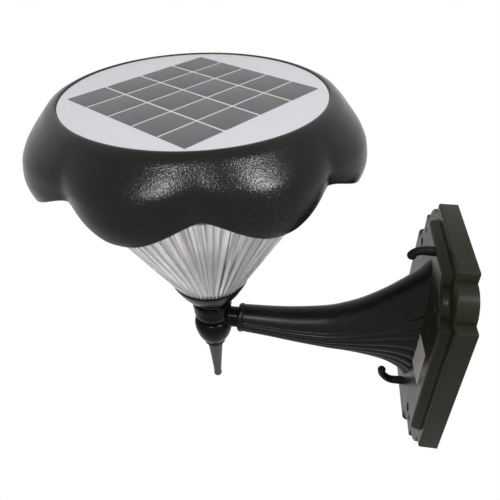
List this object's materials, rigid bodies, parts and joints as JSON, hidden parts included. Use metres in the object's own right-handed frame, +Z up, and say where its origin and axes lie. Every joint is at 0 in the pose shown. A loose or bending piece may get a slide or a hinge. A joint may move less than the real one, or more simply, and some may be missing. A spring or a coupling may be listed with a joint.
{
  "type": "solar wall light",
  "caption": "Petal shaped solar light with a ribbed cone lens on a horn shaped wall arm and a notched plate with scroll hooks.",
  "frame": {"origin": "centre of the wall plate's back face, at the middle of the wall screws", "axes": "+Z up, +Y into the wall, -Y outwards along the arm, X across the plate"},
  "size_m": [0.1838, 0.2481, 0.2283],
  "materials": {
    "satin_black": "satin",
    "matte_black": "matte",
    "textured_black": "fine texture, satin",
    "gloss_black": "gloss",
    "zinc_steel": "zinc plated",
    "rubber_black": "matte",
    "nylon": "satin",
    "clear_lens": "clear acrylic, ribbed",
    "white_sheet": "satin",
    "clear_film": "clear film",
    "silicon": "satin",
    "tinned_copper": "satin",
    "battery_wrap": "shrink wrap",
    "green_board": "solder mask",
    "white_board": "solder mask",
    "chip_black": "matte",
    "led_phosphor": "phosphor"
  },
  "bodies": {
    "bracket": {"wall_plate": "satin_black", "scroll_hook_top": "matte_black", "scroll_hook_bottom": "matte_black", "arm": "satin_black", "arm_screws": "zinc_steel", "hub": "gloss_black"},
    "head_ring": {"head_washer": "nylon"},
    "head": {"stem": "zinc_steel", "stem_nut": "zinc_steel", "lens_cup": "satin_black", "lens": "clear_lens", "lens_seal": "rubber_black", "lens_screws": "zinc_steel", "shade_cap": "textured_black", "tray": "matte_black", "tray_screws": "zinc_steel", "panel_board": "white_sheet", "panel_film": "clear_film", "solar_cells": "silicon", "cell_ribbons": "tinned_copper", "panel_gasket": "rubber_black", "battery_holder": "matte_black", "battery": "battery_wrap", "battery_contacts": "zinc_steel", "control_board": "green_board", "board_parts": "chip_black", "board_screws": "zinc_steel", "led_board": "white_board", "leds": "led_phosphor", "led_screws": "zinc_steel", "switch_bracket": "matte_black", "push_switch": "chip_black"},
    "button": {"power_button": "rubber_black", "switch_plunger": "nylon"},
    "finial_ring": {"finial_washer": "rubber_black"},
    "finial_knob": {"finial": "satin_black"}
  },
  "joints": [
    {"name": "head_rise", "type": "slide", "parent": "bracket", "child": "head_ring", "axis": [0, 0, 1], "range_m": [0, 0.0105]},
    {"name": "head_turn", "type": "hinge", "parent": "head_ring", "child": "head", "pos_m": [0, -0.1562, 0], "axis": [0, 0, 1], "range_deg": [0, 2520]},
    {"name": "finial_drop", "type": "slide", "parent": "bracket", "child": "finial_ring", "axis": [0, 0, -1], "range_m": [0, 0.015]},
    {"name": "finial_turn", "type": "hinge", "parent": "finial_ring", "child": "finial_knob", "pos_m": [0, -0.1562, 0], "axis": [0, 0, -1], "range_deg": [0, 4320]},
    {"name": "button_press", "type": "slide", "parent": "head", "child": "button", "axis": [0, 0, 1], "range_m": [0, 0.001], "stiffness_N_per_m": 400, "springref_m": -0.001}
  ],
  "couplings": [
    {"joint": "head_rise", "follows": "head_turn", "m_per_rad": 0.00023873},
    {"joint": "finial_turn", "follows": "finial_drop", "rad_per_m": 5026.5}
  ]
}
